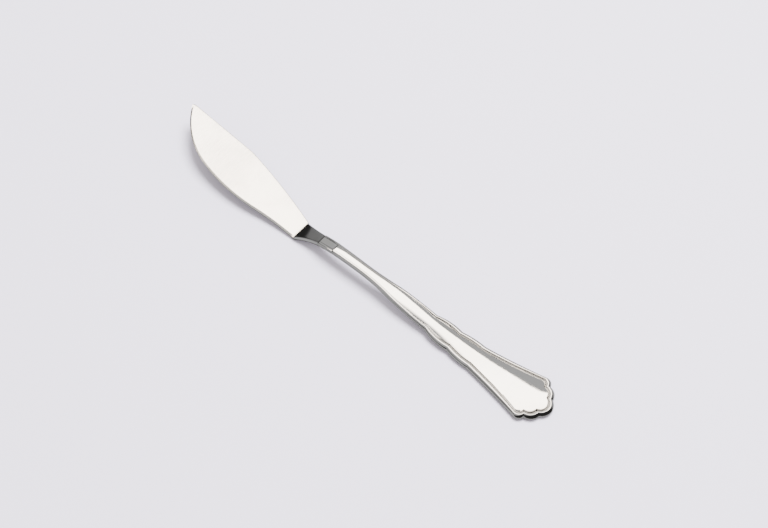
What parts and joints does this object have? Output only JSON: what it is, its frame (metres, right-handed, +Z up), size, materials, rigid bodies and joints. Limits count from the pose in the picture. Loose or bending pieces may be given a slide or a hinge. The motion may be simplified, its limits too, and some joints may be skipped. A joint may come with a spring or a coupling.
{
  "type": "fish knife",
  "caption": "Polished fish knife with a leaf-shaped blade, a flared bolster and a hollow handle with a scalloped outline, a thread border and a crowned panel.",
  "frame": {"origin": "on the table, at the middle of the flat land under the handle's end", "axes": "+X from the handle to the blade's tip, +Y towards the cutting edge's side, +Z up from the table"},
  "size_m": [0.2035, 0.0247, 0.0115],
  "materials": {
    "blade_steel": "bright satin polish",
    "bolster_steel": "mirror polish",
    "handle_steel": "mirror polish",
    "cement": "dull cast cement"
  },
  "bodies": {
    "root": {"blade": "blade_steel", "bolster": "bolster_steel", "handle_front_shell": "handle_steel", "handle_back_shell": "handle_steel", "handle_core": "cement"}
  },
  "joints": []
}
